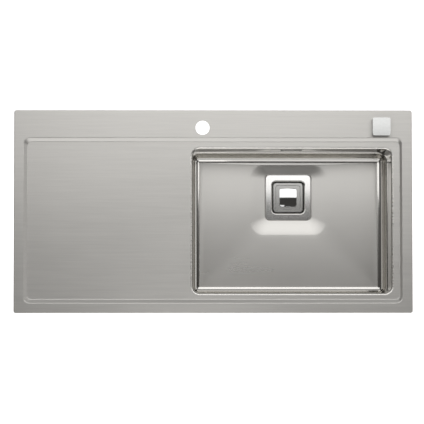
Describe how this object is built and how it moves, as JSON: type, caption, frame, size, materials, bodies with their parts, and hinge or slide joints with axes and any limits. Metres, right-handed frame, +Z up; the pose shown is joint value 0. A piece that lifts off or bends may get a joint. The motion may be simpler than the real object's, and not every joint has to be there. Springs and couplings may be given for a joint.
{
  "type": "kitchen sink",
  "caption": "Inset stainless kitchen sink: rectangular bowl on the right, plain recessed drainboard on the left, tap hole, square knob for the pop-up waste, square plug, overflow, rim clips.",
  "frame": {"origin": "middle of the sink's outline, at the level of the worktop that the rim's seal rests on", "axes": "+X along the sink towards the bowl, +Y to the back where the tap stands, +Z up"},
  "size_m": [1, 0.51, 0.33],
  "materials": {
    "satin_steel": "satin brushed stainless sheet",
    "bowl_steel": "polished walls, satin floor",
    "polished_steel": "polished pressed stainless",
    "bright_chrome": "bright chrome plate",
    "zinc_plate": "bright zinc plated steel",
    "steel_hardware": "turned stainless",
    "brass_hardware": "turned brass",
    "black_rubber": "matt moulded rubber",
    "foam_strip": "closed-cell foam",
    "damping_pad": "bitumen pad",
    "white_plastic": "white moulded plastic",
    "hose_plastic": "grey flexible hose",
    "grey_plastic": "dark grey moulded plastic",
    "sheath_black": "black cable sheath"
  },
  "bodies": {
    "sink": {"deck_panel": "satin_steel", "bowl_shell": "bowl_steel", "waste_flange": "polished_steel", "overflow_plate": "polished_steel", "clip_rails_front": "zinc_plate", "clip_rails_back": "zinc_plate", "clip_rails_left": "zinc_plate", "clip_rails_right": "zinc_plate", "fixing_clips": "zinc_plate", "clip_screws": "zinc_plate", "stiffener_front": "zinc_plate", "stiffener_back": "zinc_plate", "earth_tag": "zinc_plate", "hose_clamps": "zinc_plate", "cable_bracket": "zinc_plate", "overflow_screws": "steel_hardware", "waste_screws": "steel_hardware", "lid_screws": "steel_hardware", "cable_adjuster": "brass_hardware", "control_nut": "brass_hardware", "overflow_gasket": "black_rubber", "flange_seal": "black_rubber", "body_gasket": "black_rubber", "shaft_seal": "black_rubber", "deck_washer": "black_rubber", "control_gasket": "black_rubber", "edge_seal": "foam_strip", "drainboard_pad": "damping_pad", "bowl_pad_left": "damping_pad", "bowl_pad_right": "damping_pad", "bowl_pad_front": "damping_pad", "overflow_elbow": "white_plastic", "waste_body": "white_plastic", "outlet_tail": "white_plastic", "inlet_spigot": "white_plastic", "gland_nut": "white_plastic", "overflow_hose": "hose_plastic", "control_housing": "grey_plastic", "housing_lid": "grey_plastic", "cable_sheath": "sheath_black"},
    "knob": {"knob": "bright_chrome", "knob_spindle": "steel_hardware", "cable_drum": "grey_plastic"},
    "lever": {"lever_shaft": "steel_hardware", "lift_finger": "grey_plastic", "crank_arm": "grey_plastic"},
    "lifter": {"lifter_pin": "steel_hardware"},
    "wire": {"inner_wire": "steel_hardware", "wire_nipple": "brass_hardware"},
    "plug": {"plug_cap": "polished_steel", "plug_handle": "bright_chrome", "plug_seal": "black_rubber", "strainer_basket": "polished_steel", "plug_screw": "steel_hardware"}
  },
  "joints": [
    {"name": "knob_turn", "type": "hinge", "parent": "sink", "child": "knob", "pos_m": [0.4215, 0.212, 0.004], "axis": [0, 0, 1], "range_deg": [0, 90]},
    {"name": "lever_rock", "type": "hinge", "parent": "sink", "child": "lever", "pos_m": [0.1977, 0.03702, -0.25573], "axis": [1, 0, 0], "range_deg": [0, 50]},
    {"name": "pin_lift", "type": "slide", "parent": "sink", "child": "lifter", "axis": [0, 0, 1], "range_m": [0, 0.01014]},
    {"name": "wire_pull", "type": "slide", "parent": "sink", "child": "wire", "axis": [0, 1, 0], "range_m": [0, 0.01772]},
    {"name": "plug_lift_out", "type": "slide", "parent": "lifter", "child": "plug", "axis": [0, 0, 1], "range_m": [0, 0.12]}
  ],
  "couplings": [
    {"joint": "lever_rock", "follows": "knob_turn", "ratio": 0.55556},
    {"joint": "pin_lift", "follows": "knob_turn", "m_per_rad": 0.0064571},
    {"joint": "wire_pull", "follows": "knob_turn", "m_per_rad": 0.011281}
  ]
}
